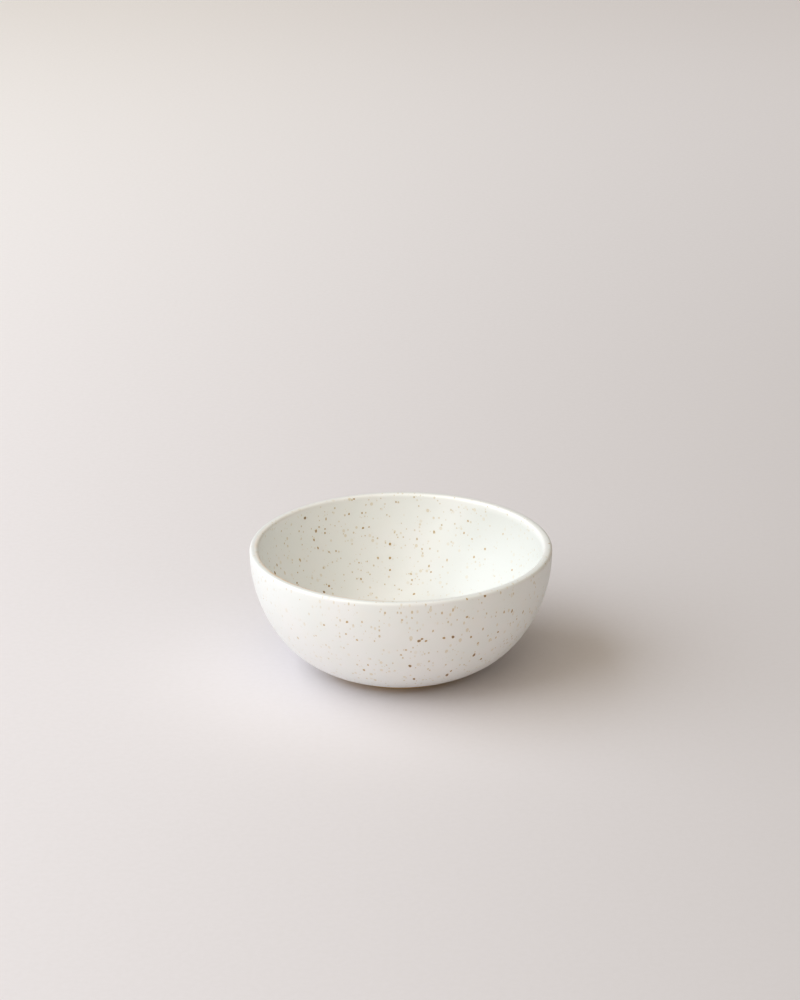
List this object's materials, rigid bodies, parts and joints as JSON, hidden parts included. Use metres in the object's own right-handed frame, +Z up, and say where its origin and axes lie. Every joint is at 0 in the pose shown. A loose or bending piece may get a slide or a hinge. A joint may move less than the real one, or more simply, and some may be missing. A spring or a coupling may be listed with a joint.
{
  "type": "bowl",
  "caption": "Small round stoneware bowl with a rounded lip, satin off-white iron-speckled glaze inside and out, and a low bare foot ring.",
  "frame": {"origin": "centre of the bowl's footprint, on the surface that the foot ring stands on", "axes": "+Z up along the bowl's axis of turning; X and Y lie in the surface and are interchangeable"},
  "size_m": [0.155, 0.155, 0.065],
  "materials": {
    "stoneware": "bare fired buff stoneware, matt and slightly gritty",
    "inside_glaze": "satin off-white glaze with iron specks",
    "outside_glaze": "satin off-white glaze with iron specks"
  },
  "bodies": {
    "root": {"clay_body": "stoneware", "foot_ring": "stoneware", "inner_glaze": "inside_glaze", "outer_glaze": "outside_glaze", "base_glaze": "outside_glaze"}
  },
  "joints": []
}
